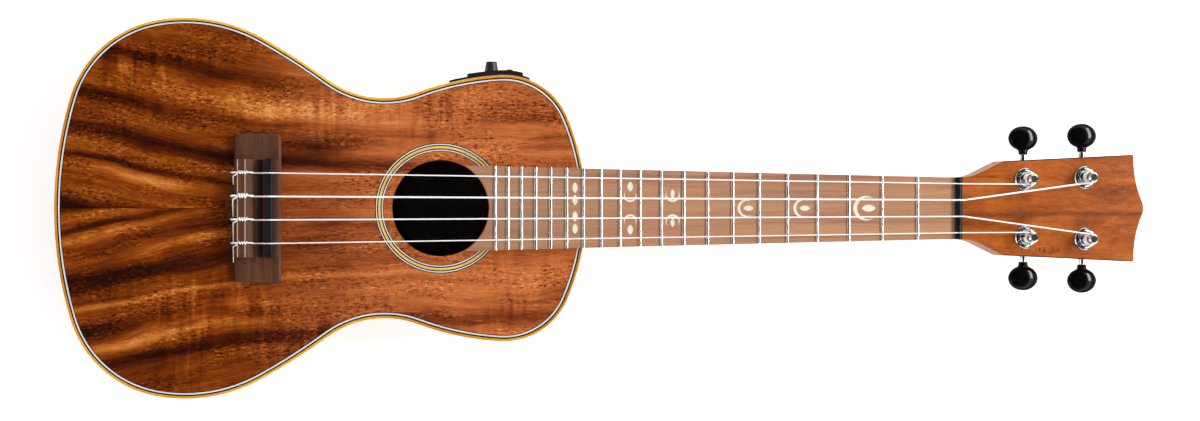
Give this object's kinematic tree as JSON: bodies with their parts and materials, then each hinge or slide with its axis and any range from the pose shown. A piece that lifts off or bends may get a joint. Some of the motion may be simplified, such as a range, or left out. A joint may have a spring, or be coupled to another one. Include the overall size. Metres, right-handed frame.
{
  "type": "ukulele",
  "caption": "Concert ukulele with a koa body, slotless tilted headstock, geared tuning pegs, tie bridge and a preamp in its side.",
  "frame": {"origin": "on the plane of the back, under the middle of the instrument's length and width", "axes": "+X from the tail towards the headstock, +Y towards the bass side, +Z out of the soundboard"},
  "size_m": [0.6264, 0.2146, 0.0795],
  "materials": {
    "koa_top": "gloss lacquer",
    "koa_side": "gloss lacquer",
    "koa_veneer": "gloss lacquer",
    "neck_wood": "satin",
    "binding_wood": "gloss lacquer",
    "fretboard_wood": "oiled",
    "bridge_wood": "oiled",
    "inner_wood": "raw",
    "maple": "gloss lacquer",
    "black_trim": "satin",
    "white_trim": "satin",
    "pearl": "gloss",
    "black_nut": "polished",
    "nylon": "translucent",
    "fret_wire": "polished",
    "chrome": "mirror",
    "steel": "machined",
    "button_black": "gloss",
    "preamp_black": "fine texture",
    "screen": "clear window over a dark display",
    "board_green": "solder mask"
  },
  "bodies": {
    "root": {"soundboard_bass": "koa_top", "soundboard_treble": "koa_top", "back_bass": "koa_side", "back_treble": "koa_side", "side_bass": "koa_side", "side_treble": "koa_side", "top_binding": "binding_wood", "back_binding": "binding_wood", "black_lines": "black_trim", "white_lines": "white_trim", "rosette_maple": "maple", "linings": "inner_wood", "neck_block": "inner_wood", "tail_block": "inner_wood", "top_braces": "inner_wood", "bridge_plate": "inner_wood", "back_braces": "inner_wood", "neck_shaft": "neck_wood", "headstock": "neck_wood", "heel": "neck_wood", "heel_cap": "bridge_wood", "headstock_veneer": "koa_veneer", "fretboard": "fretboard_wood", "frets": "fret_wire", "fret_markers": "pearl", "nut": "black_nut", "saddle": "black_nut", "bridge": "bridge_wood", "piezo_pickup": "steel", "tuner_housings": "chrome", "tuner_bushings": "chrome", "tuner_screws": "chrome", "preamp_panel": "preamp_black", "preamp_housing": "preamp_black", "circuit_board": "board_green", "preamp_screen": "screen", "output_jack": "chrome", "jack_nut": "chrome", "string_g": "nylon", "string_c": "nylon", "string_e": "nylon", "string_a": "nylon"},
    "key_g": {"worm_shaft_g": "chrome", "button_g": "button_black"},
    "post_g": {"post_g": "chrome"},
    "key_c": {"worm_shaft_c": "chrome", "button_c": "button_black"},
    "post_c": {"post_c": "chrome"},
    "key_e": {"worm_shaft_e": "chrome", "button_e": "button_black"},
    "post_e": {"post_e": "chrome"},
    "key_a": {"worm_shaft_a": "chrome", "button_a": "button_black"},
    "post_a": {"post_a": "chrome"},
    "volume_knob": {"volume_knob": "preamp_black"},
    "tuner_push_button": {"tuner_push_button": "preamp_black"},
    "battery_drawer": {"battery_drawer": "preamp_black", "battery_cell": "steel"}
  },
  "joints": [
    {"name": "key_g_turn", "type": "hinge", "parent": "root", "child": "key_g", "pos_m": [0.24336, 0.0166, 0.04441], "axis": [0, 1, 0], "continuous": true},
    {"name": "post_g_turn", "type": "hinge", "parent": "root", "child": "post_g", "pos_m": [0.24075, 0.0166, 0.06337], "axis": [0.2079, 0, 0.9781], "continuous": true},
    {"name": "key_c_turn", "type": "hinge", "parent": "root", "child": "key_c", "pos_m": [0.27946, 0.0177, 0.03674], "axis": [0, 1, 0], "continuous": true},
    {"name": "post_c_turn", "type": "hinge", "parent": "root", "child": "post_c", "pos_m": [0.27684, 0.0177, 0.0557], "axis": [0.2079, 0, 0.9781], "continuous": true},
    {"name": "key_e_turn", "type": "hinge", "parent": "root", "child": "key_e", "pos_m": [0.27946, -0.0177, 0.03674], "axis": [0, 1, 0], "continuous": true},
    {"name": "post_e_turn", "type": "hinge", "parent": "root", "child": "post_e", "pos_m": [0.27684, -0.0177, 0.0557], "axis": [0.2079, 0, 0.9781], "continuous": true},
    {"name": "key_a_turn", "type": "hinge", "parent": "root", "child": "key_a", "pos_m": [0.24336, -0.0166, 0.04441], "axis": [0, 1, 0], "continuous": true},
    {"name": "post_a_turn", "type": "hinge", "parent": "root", "child": "post_a", "pos_m": [0.24075, -0.0166, 0.06337], "axis": [0.2079, 0, 0.9781], "continuous": true},
    {"name": "volume_turn", "type": "hinge", "parent": "root", "child": "volume_knob", "pos_m": [-0.0645, 0.08, 0.034], "axis": [0, 1, 0], "range_deg": [-140, 140]},
    {"name": "push_button_travel", "type": "slide", "parent": "root", "child": "tuner_push_button", "axis": [0, -1, 0], "range_m": [0, 0.0006], "stiffness_N_per_m": 100, "springref_m": -0.0005},
    {"name": "drawer_slide", "type": "slide", "parent": "root", "child": "battery_drawer", "axis": [0, 1, 0], "range_m": [0, 0.022]}
  ],
  "couplings": [
    {"joint": "post_g_turn", "follows": "key_g_turn", "ratio": -0.071429},
    {"joint": "post_c_turn", "follows": "key_c_turn", "ratio": -0.071429},
    {"joint": "post_e_turn", "follows": "key_e_turn", "ratio": -0.071429},
    {"joint": "post_a_turn", "follows": "key_a_turn", "ratio": -0.071429}
  ]
}
